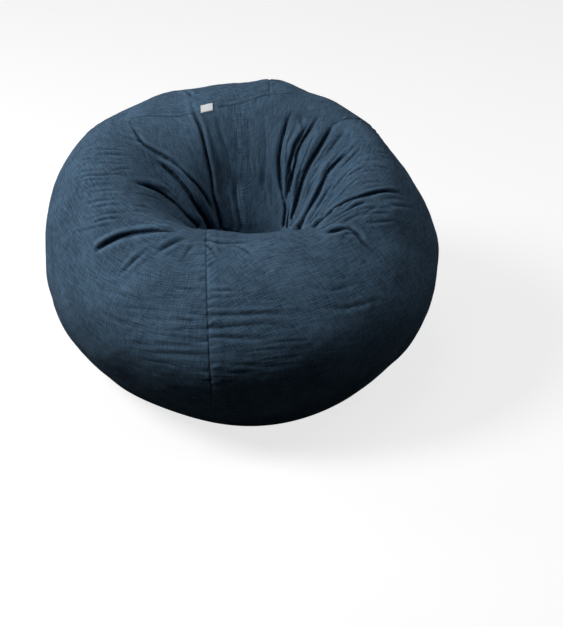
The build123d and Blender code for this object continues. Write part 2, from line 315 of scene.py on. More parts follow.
def mesh_object(name, points, faces, uv=None, smooth=True):
    """An object of these points and quads, with uv in metres for each point or each face corner."""
    points = np.ascontiguousarray(points, dtype=np.float32).reshape(-1, 3)
    faces = np.ascontiguousarray(faces, dtype=np.int32)
    mesh = bpy.data.meshes.new(name)
    mesh.vertices.add(len(points))
    mesh.vertices.foreach_set("co", points.ravel())
    mesh.loops.add(faces.size)
    mesh.loops.foreach_set("vertex_index", faces.ravel())
    mesh.polygons.add(len(faces))
    mesh.polygons.foreach_set("loop_start", np.arange(0, faces.size, faces.shape[1], dtype=np.int32))
    mesh.update(calc_edges=True)
    if uv is not None:
        uv = np.asarray(uv, np.float32).reshape(-1, 2)
        if len(uv) == len(points):
            uv = uv[faces.ravel()]
        mesh.uv_layers.new(name="weave").data.foreach_set("uv", np.ascontiguousarray(uv).ravel())
    if smooth:
        mesh.shade_smooth()
    mesh.validate()
    obj = bpy.data.objects.new(name, mesh)
    bpy.context.scene.collection.objects.link(obj)
    return obj


def tree_of(points):
    columns, rows = points.shape[:2]
    return BVHTree.FromPolygons(points.reshape(-1, 3).tolist(), grid_faces(columns, rows, True).tolist())


def smoothed(points, times):
    """The grid with each point drawn half-way to its neighbours; the first and last rows stay."""
    out = points.copy()
    for _ in range(times):
        near = np.roll(out, 1, 0) + np.roll(out, -1, 0)
        near[:, 1:-1] += out[:, :-2] + out[:, 2:]
        out[:, 1:-1] = out[:, 1:-1] * 0.5 + near[:, 1:-1] / 4 * 0.5
    return out


def cubic(values, times, axis, closed):
    """Values on a grid with times as many steps along one axis, on a smooth curve through those given."""
    values = np.moveaxis(values, axis, 0)
    n = len(values)
    count = n * times if closed else (n - 1) * times + 1
    place = np.arange(count) / times
    i = np.floor(place).astype(int)
    t = (place - i).reshape(-1, *([1] * (values.ndim - 1)))

    def at(k):
        return values[k % n] if closed else values[np.clip(k, 0, n - 1)]

    p0, p1, p2, p3 = at(i - 1), at(i), at(i + 1), at(i + 2)
    out = p1 + 0.5 * t * (p2 - p0 + t * (2 * p0 - 5 * p1 + 4 * p2 - p3 + t * (3 * (p1 - p2) + p3 - p0)))
    return np.moveaxis(out, 0, axis)


LINE_SPACING = 2.5  # pixels between the points of a drawn line
LONGEST_STEP = 0.07  # a drawn line isn't followed over a gap in the cloth longer than this


def traced(tree, pixels):
    """Points where a line drawn on the photograph meets the cloth, with the share of its length at each."""
    pixels = np.asarray(pixels, float)
    length = run_along(pixels)
    steps = np.linspace(0, length[-1], max(3, int(length[-1] / LINE_SPACING)))
    smooth = sampled(pixels, length, steps)
    for _ in range(3):
        smooth[1:-1] = (smooth[:-2] + 2 * smooth[1:-1] + smooth[2:]) / 4
    found = []
    for (x, y), s in zip(smooth, steps / length[-1]):
        hit = tree.ray_cast(Vector(CAMERA_PLACE), Vector(pixel_ray(x, y)))[0]
        if hit is None:
            continue
        hit = np.array(hit)
        if found and np.linalg.norm(hit - found[-1][0]) > LONGEST_STEP:
            continue
        found.append((hit, s))
    return np.array([f[0] for f in found]), np.array([f[1] for f in found])


def near_line(points, normals, line, share, reach):
    """For the points within reach of a line: their numbers, distances across it and shares along it."""
    low, high = line.min(0) - reach, line.max(0) + reach
    inside = np.nonzero(((points > low) & (points < high)).all(1))[0]
    if not len(inside) or len(line) < 2:
        return inside[:0], np.zeros(0), np.zeros(0)
    p = points[inside]
    best = np.full(len(p), np.inf)
    where = np.zeros(len(p))
    side = np.zeros(len(p))
    for a, b, sa, sb in zip(line[:-1], line[1:], share[:-1], share[1:]):
        run = b - a
        t = np.clip((p - a) @ run / max(run @ run, 1e-12), 0, 1)
        off = p - (a + t[:, None] * run)
        far = np.linalg.norm(off, axis=1)
        nearer = far < best
        best = np.where(nearer, far, best)
        where = np.where(nearer, sa + (sb - sa) * t, where)
        across = np.cross(normals[inside], run)
        side = np.where(nearer, np.sign((off * across).sum(1)), side)
    near = best < reach
    return inside[near], (best * side)[near], where[near]


# A fold's reach and the place and spread of the puffed cloth beside it, in half-widths of the fold
FOLD_REACH, RIDGE_PLACE, RIDGE_SPREAD = 7, 2.7, 1.7


def creased(points, normals, tree, folds):
    """How far each point moves along its normal for the folds, each a valley with puffed sides."""
    flat_points = points.reshape(-1, 3)
    flat_normals = normals.reshape(-1, 3)
    move = np.zeros(len(flat_points))
    for pixels, depth, width, ridge, fade_in, fade_out in folds:
        line, share = traced(tree, pixels)
        if len(line) < 2:
            continue
        n, across, where = near_line(flat_points, flat_normals, line, share, width * FOLD_REACH)
        taper = np.clip(where / max(fade_in, 1e-6), 0, 1) * np.clip((1 - where) / max(fade_out, 1e-6), 0, 1)
        taper = taper * taper * (3 - 2 * taper)
        d = across / width
        valley = -np.exp(-(np.abs(d) ** 1.3))
        left = np.exp(-(((d - RIDGE_PLACE) / RIDGE_SPREAD) ** 2))
        right = np.exp(-(((d + RIDGE_PLACE) / RIDGE_SPREAD) ** 2))
        shape = valley + ridge[0] * left + ridge[1] * right
        move[n] += depth * taper * shape
    return move.reshape(points.shape[:2])


def lumps(points, wavelength, count, seed):
    """Smooth unevenness of about this wavelength, with values of about 1."""
    pick = np.random.default_rng(seed)
    turn = pick.normal(size=(count, 3))
    turn *= (2 * np.pi / wavelength * pick.uniform(0.7, 1.4, count) / np.linalg.norm(turn, axis=1))[:, None]
    phase = pick.uniform(0, 2 * np.pi, count)
    flat = points.reshape(-1, 3)
    out = np.zeros(len(flat))
    for k, ph in zip(turn, phase):
        out += np.cos(flat @ k + ph)
    return (out * math.sqrt(2 / count)).reshape(points.shape[:-1])


def fold(depth, width, ridges, fades, *line):
    """A fold of the cover, drawn on the photograph.

    It has a depth and half-width in metres, the heights of the puffed cloth on the left and the right of the
    line as it is drawn, the shares of its length over which it fades in and out, and its pixels, x then y.
    """
    return np.reshape(line, (-1, 2)), depth, width, ridges, *fades


def alike(width, ridges, fades, *lines):
    """Folds that differ only in their line and in their depth, which comes before the line's pixels."""
    return [fold(depth, width, ridges, fades, *line) for depth, *line in lines]


LARGE_FOLDS = (
    # the pleat that comes over the back's crest beside the label
    fold(0.008, 0.0045, (0.75, 0.10), (0.35, 0.01), 186, 90, 191, 104, 194, 115, 200, 127, 204, 143,
         208, 162, 211, 176, 212, 192, 217, 208, 221, 230),
    # left side of the seat
    fold(0.009, 0.0048, (0.30, 0.55), (0.25, 0.2), 132, 122, 136, 135, 142, 144, 150, 149, 161, 155,
         173, 162, 185, 173, 197, 186, 206, 198, 214, 214),
    fold(0.016, 0.007, (0.45, 0.40), (0.3, 0.01), 154, 161, 166, 168, 177, 177, 187, 190, 197, 207,
         206, 221, 211, 231),
    fold(0.017, 0.007, (0.40, 0.45), (0.3, 0.01), 130, 181, 148, 187, 163, 194, 177, 205, 188, 217,
         202, 233),
    fold(0.009, 0.006, (0.55, 0.30), (0.2, 0.3), 92, 253, 106, 244, 120, 237, 134, 233, 154, 231, 176, 232,
         190, 235),
    # right side of the seat
    fold(0.008, 0.005, (0.40, 0.35), (0.25, 0.01), 294, 108, 287, 122, 282, 140, 279, 158, 280, 178,
         283, 195, 286, 210, 283, 229),
    fold(0.008, 0.005, (0.40, 0.35), (0.25, 0.3), 310, 120, 302, 135, 294, 147, 289, 165, 291, 174,
         288, 190, 285, 212),
    fold(0.012, 0.006, (0.40, 0.40), (0.3, 0.01), 322, 111, 313, 125, 303, 140, 297, 152, 295, 166,
         291, 186, 288, 212, 286, 229),
    fold(0.018, 0.007, (0.40, 0.45), (0.3, 0.01), 338, 118, 328, 133, 320, 147, 310, 162, 303, 178,
         298, 198, 293, 215, 289, 230),
    fold(0.015, 0.0065, (0.40, 0.45), (0.3, 0.01), 350, 150, 337, 162, 327, 173, 321, 188, 316, 199,
         308, 212, 298, 229),
    fold(0.008, 0.0048, (0.35, 0.45), (0.3, 0.05), 405, 193, 388, 191, 373, 194, 360, 197, 350, 200,
         337, 207, 326, 217, 312, 228),
    fold(0.005, 0.0050, (0.45, 0.35), (0.3, 0.4), 318, 233, 330, 232, 338, 231, 347, 228, 356, 232,
         364, 243, 375, 254),
)
SMALL_FOLDS = (
    # beside the label and on the back of the seat
    fold(0.0095, 0.0040, (0.5, 0.5), (0.3, 0.3), 181, 91, 185, 91, 189, 93, 193, 96),
    fold(0.0035, 0.0050, (0.45, 0.35), (0.2, 0.5), 215, 113, 219, 127, 224, 142, 229, 155, 231, 172),
    fold(0.0050, 0.0060, (0.40, 0.45), (0.4, 0.1), 238, 170, 236, 195, 239, 215, 243, 232),
    fold(0.0040, 0.0050, (0.40, 0.40), (0.4, 0.1), 228, 190, 231, 210, 235, 230),
    fold(0.0018, 0.0070, (0.4, 0.4), (0.3, 0.5), 246, 112, 250, 142, 249, 172),
    fold(0.0026, 0.0070, (0.4, 0.4), (0.3, 0.4), 263, 106, 266, 140, 265, 175, 267, 208),
    # left arm and rim
    fold(0.0060, 0.0042, (0.55, 0.30), (0.25, 0.35), 92, 253, 106, 243, 118, 237, 131, 233),
    fold(0.0060, 0.0040, (0.50, 0.35), (0.45, 0.45), 117, 277, 126, 268, 135, 259, 150, 247),
    fold(0.0075, 0.0048, (0.55, 0.35), (0.5, 0.4), 152, 255, 164, 248, 172, 243, 180, 240, 190, 238),
    fold(0.0030, 0.0045, (0.4, 0.4), (0.2, 0.5), 144, 143, 128, 137, 112, 131),
    *alike(0.0036, (0.5, 0.5), (0.45, 0.45),
           (0.0020, 74, 153, 98, 148, 120, 150),
           (0.0020, 84, 158, 106, 153, 130, 156),
           (0.0022, 104, 173, 122, 168, 140, 170),
           (0.0024, 70, 181, 88, 175, 110, 174),
           (0.0024, 78, 191, 98, 184, 122, 183),
           (0.0020, 82, 194, 106, 190, 130, 191),
           (0.0024, 78, 207, 100, 200, 124, 198),
           (0.0030, 82, 221, 104, 214, 128, 211),
           (0.0022, 86, 225, 106, 218, 124, 217),
           (0.0030, 146, 214, 164, 219, 184, 227),
           (0.0022, 122, 213, 136, 211, 152, 213)),
    # right arm and rim
    fold(0.0065, 0.0038, (0.45, 0.40), (0.3, 0.35), 366, 165, 355, 171, 344, 178),
    fold(0.0080, 0.0036, (0.45, 0.40), (0.3, 0.35), 368, 201, 356, 205, 345, 212),
    fold(0.0050, 0.0036, (0.45, 0.40), (0.25, 0.4), 405, 193, 390, 191, 374, 193, 360, 196),
    *alike(0.0045, (0.40, 0.40), (0.3, 0.4),
           (0.0050, 348, 127, 337, 140, 328, 152, 318, 166),
           (0.0035, 360, 140, 346, 154, 336, 165)),
    *alike(0.0036, (0.40, 0.40), (0.3, 0.1),
           (0.0045, 330, 186, 323, 199, 313, 214, 304, 228),
           (0.0045, 340, 184, 329, 198, 318, 213, 308, 228),
           (0.0045, 350, 187, 336, 199, 324, 213, 313, 229)),
    fold(0.0022, 0.0036, (0.40, 0.40), (0.3, 0.4), 300, 116, 302, 128, 305, 134),
    fold(0.0060, 0.0046, (0.55, 0.30), (0.3, 0.3), 325, 232, 337, 231, 346, 228),
    fold(0.0050, 0.0040, (0.45, 0.40), (0.3, 0.4), 340, 237, 348, 232, 356, 234, 366, 246),
    fold(0.0030, 0.0040, (0.40, 0.40), (0.3, 0.4), 378, 205, 366, 213, 356, 220),
    # behind the front rim
    fold(0.0050, 0.0050, (0.50, 0.40), (0.3, 0.4), 192, 238, 206, 240, 222, 243, 240, 243, 258, 241),
    fold(0.0035, 0.0045, (0.50, 0.45), (0.3, 0.4), 221, 246, 236, 246, 246, 250, 257, 261),
    fold(0.0036, 0.0040, (0.50, 0.40), (0.2, 0.6), 205, 243, 212, 250, 219, 262),
    fold(0.0032, 0.0040, (0.40, 0.50), (0.2, 0.6), 196, 243, 188, 250, 182, 262),
    # drag lines across the front
    fold(0.0014, 0.0036, (0.5, 0.5), (0.4, 0.3), 160, 288, 186, 289, 206, 288),
    fold(0.0026, 0.0036, (0.5, 0.5), (0.2, 0.6), 212, 291, 228, 290, 246, 292),
    fold(0.0012, 0.0038, (0.5, 0.5), (0.4, 0.4), 176, 298, 205, 299, 240, 296, 290, 298),
    *alike(0.0040, (0.5, 0.5), (0.4, 0.4),
           (0.0032, 170, 311, 195, 314, 215, 315, 270, 313, 310, 316),
           (0.0028, 160, 327, 190, 329, 214, 328, 258, 324, 300, 322)),
    fold(0.0016, 0.0042, (0.5, 0.5), (0.4, 0.4), 185, 339, 220, 338, 285, 340),
    *alike(0.0046, (0.5, 0.5), (0.4, 0.4),
           (0.0014, 140, 352, 190, 355, 240, 352),
           (0.0014, 225, 365, 265, 367, 310, 361),
           (0.0014, 120, 340, 150, 346, 176, 345)),
    *alike(0.0050, (0.5, 0.5), (0.4, 0.4),
           (0.0018, 90, 305, 120, 322, 160, 331),
           (0.0016, 80, 275, 110, 292, 150, 300),
           (0.0018, 300, 285, 335, 290, 370, 280),
           (0.0020, 310, 305, 345, 309, 390, 296)),
)


def between(first, second, count, span, depth, width, seed):
    """Fine folds that run with two drawn lines and lie between them, each over a part of the way."""
    pick = np.random.default_rng(seed)
    share = np.linspace(0, 1, 25)
    drawn = []
    for line in (first, second):
        line = np.asarray(line, float)
        far = run_along(line)
        drawn.append(sampled(line, far / far[-1], share))
    folds = []
    for k in range(count):
        place = (k + pick.uniform(0.15, 0.85)) / count
        long = pick.uniform(*span)
        start = pick.uniform(0, 1 - long)
        line = drawn[0] * (1 - place) + drawn[1] * place
        steps = start + long * np.linspace(0, 1, 6)
        line = sampled(line, share, steps) + pick.normal(0, 0.5, (6, 2))
        own_depth = depth * pick.uniform(0.5, 1.3)
        own_width = width * pick.uniform(0.8, 1.3)
        folds.append(fold(own_depth, own_width, (0.4, 0.4), (0.4, 0.4), *line.ravel()))
    return folds


def fine_folds():
    """Drag lines among the drawn folds: into the seat, on its back, over the arms and across the front."""
    near_right = ((294, 108), (282, 140), (280, 178), (284, 229))
    right = ((338, 118), (320, 147), (303, 178), (291, 229))
    far_right = ((372, 160), (346, 180), (326, 205), (306, 229))
    right_arm = ((400, 205), (366, 212), (340, 224), (316, 233))
    pleat = ((204, 143), (211, 176), (217, 208), (221, 230))
    left = ((150, 148), (185, 167), (206, 196), (212, 229))
    far_left = ((128, 182), (163, 194), (188, 217), (203, 233))
    left_arm = ((96, 228), (130, 226), (165, 229), (190, 235))
    back_left = ((222, 120), (226, 150), (232, 190), (238, 228))
    back_right = ((274, 110), (272, 150), (274, 190), (278, 228))
    front_high = ((120, 290), (180, 290), (250, 288), (330, 290))
    front_low = ((100, 360), (180, 378), (250, 380), (340, 365))
    left_rim_high = ((70, 150), (90, 146), (118, 146), (140, 150))
    left_rim_low = ((62, 240), (85, 232), (110, 226), (140, 226))
    right_rim_high = ((352, 150), (375, 146), (392, 152))
    right_rim_low = ((350, 225), (385, 222), (424, 226))
    groups = (
        (near_right, right, 9, (0.3, 0.6), 0.0036, 0.0030),
        (right, far_right, 12, (0.3, 0.6), 0.0038, 0.0030),
        (far_right, right_arm, 12, (0.3, 0.6), 0.0034, 0.0030),
        (pleat, left, 5, (0.3, 0.6), 0.0018, 0.0034),
        (left, far_left, 7, (0.3, 0.6), 0.0024, 0.0030),
        (far_left, left_arm, 9, (0.3, 0.6), 0.0022, 0.0032),
        (back_left, back_right, 9, (0.3, 0.6), 0.0014, 0.0036),
        (front_high, front_low, 28, (0.2, 0.45), 0.0012, 0.0034),
        (left_rim_high, left_rim_low, 16, (0.35, 0.7), 0.0020, 0.0034),
        (right_rim_high, right_rim_low, 14, (0.35, 0.7), 0.0022, 0.0034),
    )
    folds = []
    for seed, group in enumerate(groups, 1):
        folds += between(*group, seed)
    return folds


def uncut(points, slack):
    """The cloth as it was sewn: the same lengths from seat to floor, and longer hoops by the slack."""
    radius = np.hypot(points[..., 0], points[..., 1]) * (1 + slack)
    turn = np.arctan2(points[..., 0], -points[..., 1])
    run = np.linalg.norm(np.diff(points, axis=1), axis=-1)
    drop = np.sqrt(np.maximum(run**2 - np.diff(radius, axis=1) ** 2, (0.05 * run) ** 2))
    return np.stack((radius * np.sin(turn), -radius * np.cos(turn), -summed(drop, 1)), -1)


def settle(points, rest, hold):
    """The cover, sewn a little too large for the filled bag, left to buckle under the beads' pressure."""
    columns, rows = points.shape[:2]
    obj = mesh_object("settling", points, grid_faces(columns, rows, True))
    obj.shape_key_add(name="filled")
    sewn = obj.shape_key_add(name="sewn")
    sewn.data.foreach_set("co", np.ascontiguousarray(rest, dtype=np.float32).ravel())
    sewn.value = 0.0
    group = obj.vertex_groups.new(name="hold")
    steps = np.round(np.clip(hold, 0, 1).ravel() * 100).astype(int)
    for step in np.unique(steps):
        group.add(np.nonzero(steps == step)[0].tolist(), step / 100, "REPLACE")
    modifier = obj.modifiers.new("cloth", "CLOTH")
    cloth = modifier.settings
    for key, value in CLOTH_SETTINGS.items():
        setattr(cloth, key, value)
    cloth.vertex_group_mass = "hold"
    cloth.rest_shape_key = sewn
    cloth.use_pressure = True
    cloth.effector_weights.gravity = 0.0
    modifier.collision_settings.use_collision = False
    modifier.collision_settings.use_self_collision = False
    modifier.point_cache.frame_start = 1
    modifier.point_cache.frame_end = SETTLING_FRAMES
    scene = bpy.context.scene
    for number in range(1, SETTLING_FRAMES + 1):
        scene.frame_set(number)
    shown = obj.evaluated_get(bpy.context.evaluated_depsgraph_get()).data
    out = np.empty(len(shown.vertices) * 3, np.float32)
    shown.vertices.foreach_get("co", out)
    scene.frame_set(1)
    bpy.data.objects.remove(obj)
    return out.reshape(points.shape).astype(float)


SEAT_SLACK, RIM_SLACK, SIDE_SLACK = 0.07, 0.025, 0.006  # spare cloth, as a share of the way round
SEAT_END, SEAT_FADE, RIM_END, RIM_FADE = 0.42, 0.05, 0.70, 0.06  # where along the cloth that changes
HOLD = 0.03  # how firmly the beads hold the cloth in place
CLOTH_SETTINGS = {
    "quality": 5,
    "mass": 0.25,
    "air_damping": 4.0,
    "tension_stiffness": 25.0,
    "compression_stiffness": 25.0,
    "shear_stiffness": 8.0,
    "bending_stiffness": 3.0,
    "tension_damping": 12.0,
    "compression_damping": 12.0,
    "shear_damping": 12.0,
    "bending_damping": 2.0,
    "pin_stiffness": 0.6,
    "uniform_pressure_force": 0.5,
}
SETTLING_FRAMES = 24
FIRST_ROW = 13  # the seat's middle, above this row, isn't simulated
MOST_MOVE = 0.022  # cap on how far a point may settle


def meet_label(points, gap, spread):
    """Raises or lowers the crest so that the cloth lies by the gap below the label's sewn edge."""
    foot = tree_of(points).ray_cast(Vector((*LABEL_HINGE[:2], 1.0)), Vector((0, 0, -1)))[0]
    far = ((points[..., :2] - LABEL_HINGE[:2]) ** 2).sum(-1)
    close = np.exp(-(far / spread**2)) * (points[..., 2] > 0.5)
    points[..., 2] += (LABEL_HINGE[2] - gap - foot[2]) * close


make_camera()
angle, along, PANEL_STARTS = cloth_grid()
bag = form(angle, along)
normals = normals_of(bag)

# The peak at the back seam, and the crest's height where the label is sewn
PEAK_PLACE, PEAK_SPREAD, PEAK_HEIGHT = (0.105, 0.31), (0.085, 0.13), 0.017
peak = bag[..., 2] > 0.45
for k in range(2):
    peak = peak * np.exp(-(((bag[..., k] - PEAK_PLACE[k]) / PEAK_SPREAD[k]) ** 2))
bag = bag + normals * (PEAK_HEIGHT * peak)[..., None]
meet_label(bag, 0.0009, 0.075)
plain = bag

# The large folds, and the unevenness of beads under cloth
normals = normals_of(bag)
tree = tree_of(bag)
upper = np.clip((bag[..., 2] - 0.03) / 0.08, 0, 1)
move = creased(bag, normals, tree, LARGE_FOLDS)
move += (0.0018 * lumps(bag, 0.16, 40, 3) + 0.0002 * lumps(bag, 0.03, 60, 5)) * upper
bag = bag + normals * move[..., None]

# Cloth simulation: most slack in the seat and over the rim, little lower down
seat = 1 / (1 + np.exp((along - SEAT_END) / SEAT_FADE))
rim = 1 / (1 + np.exp((along - RIM_END) / RIM_FADE))
slack = SIDE_SLACK + (RIM_SLACK - SIDE_SLACK) * rim + (SEAT_SLACK - RIM_SLACK) * seat
hold = np.full(slack.shape, HOLD)
hold[:, : FIRST_ROW + 2] = 1.0
hold[:, -2:] = 1.0
before = bag
bag = bag.copy()
rest = uncut(plain, slack)
bag[:, FIRST_ROW:] = settle(bag[:, FIRST_ROW:], rest[:, FIRST_ROW:], hold[:, FIRST_ROW:])
step = smoothed(bag - before, 4)
size = np.linalg.norm(step, axis=-1, keepdims=True)
bag = before + step * np.minimum(1, MOST_MOVE / np.maximum(size, 1e-9))
bag[..., 2] = np.maximum(bag[..., 2], 0.0)

# The shown cloth is finer, with the small folds
fine = cubic(cubic(bag, FINE, 0, True), FINE, 1, False)
normals = normals_of(fine)
tree = tree_of(bag)
SHARP_SHARE, SHARP_WIDTH = 0.80, 0.0034  # the narrow crease at the bottom of each large fold
sharp = []
for line, depth, _, _, *fades in LARGE_FOLDS:
    sharp.append((line, SHARP_SHARE * depth, SHARP_WIDTH, (0.1, 0.1), *fades))
move = creased(fine, normals, tree, [*SMALL_FOLDS, *sharp, *fine_folds()])
fine = fine + normals * move[..., None]
meet_label(fine, 0.0005, 0.045)
fine[..., 2] = np.maximum(fine[..., 2], 0.0)

# Seams: the columns of the front, right, back and left seams, and the row of the top panel's edge
SEAM_COLUMNS = {name: int(k) * FINE for name, k in zip(("front", "right", "back", "left"), PANEL_STARTS)}
TOP_ROW = TOP_ROWS * FINE
LAST_ROW = fine.shape[1] - 1
COLUMNS = fine.shape[0]
SEAM_GROOVE, GROOVE_WIDTH = 0.0013, 0.0026
PUCKER_SPACING, PUCKER_REACH, PUCKER_START = 0.024, 0.016, 0.003
ALLOWANCE_MIDDLE, ALLOWANCE_HALF, ALLOWANCE_EDGE = 0.016, 0.013, 0.0012
ALLOWANCE_RISE = {"front": 0.0010, "right": 0.0006, "back": 0.0006, "left": 0.0006}


def waver(length, wavelength, seed):
    """Uneven gathering along a seam, with values of about 1, at these distances along it."""
    pick = np.random.default_rng(seed)
    out = np.zeros(length.shape)
    for _ in range(9):
        phase = 2 * np.pi * length / (wavelength * pick.uniform(0.6, 1.8))
        out += np.cos(phase + pick.uniform(0, 2 * np.pi))
    return out / math.sqrt(4.5)


def seam_shape(distance, along_seam, seed, band=0.0, pucker=0.0014):
    """How far the cloth moves beside a seam: a groove, fading puckers, and the allowance under one side."""
    far = np.abs(distance)
    out = -SEAM_GROOVE * np.exp(-((far / GROOVE_WIDTH) ** 1.6))
    for side, number in ((1, 0), (-1, 1)):
        here = np.where(distance * side > 0, 1.0, 0.0)
        fade = np.exp(-far / PUCKER_REACH) * (1 - np.exp(-far / PUCKER_START))
        out += here * fade * pucker * waver(along_seam, PUCKER_SPACING, seed + number)
    if band:
        inside = np.abs(distance - ALLOWANCE_MIDDLE) - ALLOWANCE_HALF
        out += band * (1 / (1 + np.exp(inside / ALLOWANCE_EDGE)))
    return out


normals = normals_of(fine)
move = np.zeros(fine.shape[:2])
REACH = 16 * FINE // 2
for number, (name, column) in enumerate(SEAM_COLUMNS.items()):
    rows = slice(TOP_ROW, LAST_ROW + 1)
    near = np.arange(-REACH, REACH + 1)
    line = fine[column, rows]
    step = np.linalg.norm(fine[(column + 1) % COLUMNS, rows] - fine[column - 1, rows], axis=1) / 2
    length = run_along(line)
    fade = np.clip(length / 0.02, 0, 1) * np.clip((length[-1] - length) / 0.03, 0, 1)
    shape = seam_shape(near[:, None] * step[None, :], length[None, :] + 0 * near[:, None], 20 + 4 * number,
                       band=ALLOWANCE_RISE[name])
    lower = np.clip(line[:, 2] / 0.32, 0.35, 1)
    move[(column + near) % COLUMNS, rows] += shape * (0.25 + 0.75 * fade) * lower
near = np.arange(-REACH, REACH + 1)
line = fine[:, TOP_ROW]
length = run_along(line)
step = np.linalg.norm(fine[:, TOP_ROW + 1] - fine[:, TOP_ROW - 1], axis=1) / 2
# the top seam's groove is deep along the back beside the label and shallow elsewhere
plainer = 0.15 + 0.85 / (1 + np.exp((0.11 - line[:, 1]) / 0.012)) / (1 + np.exp((line[:, 0] - 0.18) / 0.03))
shape = seam_shape(near[None, :] * step[:, None], length[:, None] + 0 * near[None, :], 50, pucker=0.0005)
move[:, TOP_ROW + near] += shape * plainer[:, None]
low = np.clip((fine[..., 2] - 0.012) / 0.05, 0, 1)
fine = fine + normals * (move * low)[..., None]
fine[..., 2] = np.maximum(fine[..., 2], 0.0)


def label_rise(out):
    """How high the label's under side stands over the plane it is sewn in, this far from the sewn edge."""
    return -0.0012 + 0.0022 * (1 - np.exp(-out / 0.002)) + 0.12 * out + 2.0 * out**2


# The cloth lies lower beside the label's sewn edge, so the label clears it lying back and turned forward
LABEL_LAYERS, LABEL_ROOM = 0.0009, 0.0008
off = fine - LABEL_HINGE
across, out, over = off @ LABEL_AXIS, off @ LABEL_ALONG, off @ LABEL_NORMAL
rise = label_rise(np.abs(out))
room = np.where(out > 0, rise, -rise - LABEL_LAYERS) - LABEL_ROOM
past_side = np.maximum(np.abs(across - LABEL_LEAN * np.abs(out)) - LABEL_WIDTH / 2 - 0.002, 0)
past_end = np.maximum(np.abs(out) - LABEL_HEIGHT - 0.002, 0)
near = np.exp(-((past_side**2 + past_end**2) / 0.010**2)) * (np.abs(over) < 0.03)
fine = fine - LABEL_NORMAL * (np.maximum(over - room, 0) * near)[..., None]

# Wear and painted shade on the cloth: pale on ridges where it wears, and dark in creases as painted shade
WEAR_AND_SHADE_HEIGHT = 0.0022  # the height of a ridge that is worn all through, and the depth of a crease whose painted shade is darkest
blurred = smoothed(fine, 14)
WEAR_AND_CREASE_SHADE = np.clip(((fine - blurred) * normals_of(blurred)).sum(-1) / WEAR_AND_SHADE_HEIGHT, -1, 1)


class Nodes:
    """The nodes of a material or world, made one by one; constants are set, and sockets are linked."""

    def __init__(self, owner):
        self.owner = owner
        owner.use_nodes = True
        self.tree = owner.node_tree
        self.shader = self.tree.nodes.get("Principled BSDF")

    def put(self, socket, value):
        if isinstance(value, bpy.types.NodeSocket):
            self.tree.links.new(value, socket)
        else:
            socket.default_value = value

    def add(self, kind, *values, out=0, settings=None, **inputs):
        """A node's output; values go to its first inputs in order, and inputs by name."""
        node = self.tree.nodes.new(kind)
        for key, value in (settings or {}).items():
            setattr(node, key, value)
        for socket, value in zip(node.inputs, values):
            self.put(socket, value)
        for key, value in inputs.items():
            self.put(node.inputs[key.replace("_", " ")], value)
        return node.outputs[out]

    def shade(self, **inputs):
        for key, value in inputs.items():
            self.put(self.shader.inputs[key.replace("_", " ")], value)

    def uv(self, across, down, turn=0.0):
        """The weave's coordinates, so many units to the metre across and down, then turned."""
        place = self.add("ShaderNodeUVMap", settings={"uv_map": "weave"})
        scale, rotation = (across, down, 1.0), (0.0, 0.0, turn)
        return self.add("ShaderNodeMapping", Vector=place, Scale=scale, Rotation=rotation)

    def math(self, operation, *values, clamp=False):
        return self.add("ShaderNodeMath", *values, settings={"operation": operation, "use_clamp": clamp})

    def total(self, *terms):
        """The sum of values, each times its weight."""
        out = 0.0
        for value, weight in terms:
            out = self.math("MULTIPLY_ADD", value, weight, out)
        return out

    def noise(self, vector, scale=1.0, detail=2.0):
        return self.add("ShaderNodeTexNoise", Vector=vector, Scale=scale, Detail=detail, Roughness=0.55)

    def wave(self, vector, direction, scale=1.0):
        settings = {"bands_direction": direction}
        return self.add("ShaderNodeTexWave", out=1, settings=settings, Vector=vector, Scale=scale)

    def bump(self, height, distance, strength):
        return self.add("ShaderNodeBump", Height=height, Distance=distance, Strength=strength)

    def mix(self, share, dark, pale):
        """A colour between two, by a share."""
        node = self.add("ShaderNodeMix", share, settings={"data_type": "RGBA"}).node
        self.put(node.inputs[6], (*dark, 1.0))
        self.put(node.inputs[7], (*pale, 1.0))
        return node.outputs[2]

    def span(self, value, low, high, to_low, to_high):
        return self.add("ShaderNodeMapRange", value, low, high, to_low, to_high)


def woven(name, dark, pale, thread=0.0011, contrast=1.0, rough=(0.86, 0.97), wear_and_crease_shade=0.0, bump=0.0004):
    """Yarn-dyed cloth: upright threads, cross threads with slubs, and a plain weave in relief.

    The noise is turned after it is drawn out, so that its cells don't line up from thread to thread.
    """
    m = Nodes(bpy.data.materials.new(name))
    warp = m.noise(m.uv(0.78 / thread, 0.034 / thread, 0.6))
    weft = m.noise(m.uv(0.034 / thread, 0.66 / thread, 0.9))
    slub = m.noise(m.uv(0.018 / thread, 0.36 / thread, 0.5), detail=1.0)
    cloudy = m.noise(m.uv(9.0, 7.0))
    tone = m.total((warp, 0.50), (weft, 0.45), (slub, 0.22), (cloudy, 0.20))
    tone = m.span(tone, 0.685 - 0.24 / contrast, 0.685 + 0.24 / contrast, 0.0, 1.0)
    # the cover darkens in creases as painted shade and pales on ridges as wear, from the cloth's attribute
    if wear_and_crease_shade:
        worn_and_shaded = m.add("ShaderNodeAttribute", out=2, settings={"attribute_name": "wear_and_crease_shade"})
        tone = m.math("MULTIPLY_ADD", worn_and_shaded, wear_and_crease_shade, tone, clamp=True)
    m.shade(Base_Color=m.mix(tone, dark, pale))
    m.shade(Roughness=m.span(tone, 0.0, 1.0, rough[1], rough[0]))
    over = m.wave(m.uv(1 / thread / 2, 0.0), "X")
    under = m.wave(m.uv(0.0, 1 / thread / 2), "Y")
    relief = m.total((over, 0.5), (under, 0.5), (warp, 1.0), (weft, 1.4))
    m.shade(Normal=m.bump(relief, bump, 0.8))
    m.shade(Sheen_Weight=0.015, Sheen_Roughness=0.4, Specular_IOR_Level=0.04)
    return m.owner


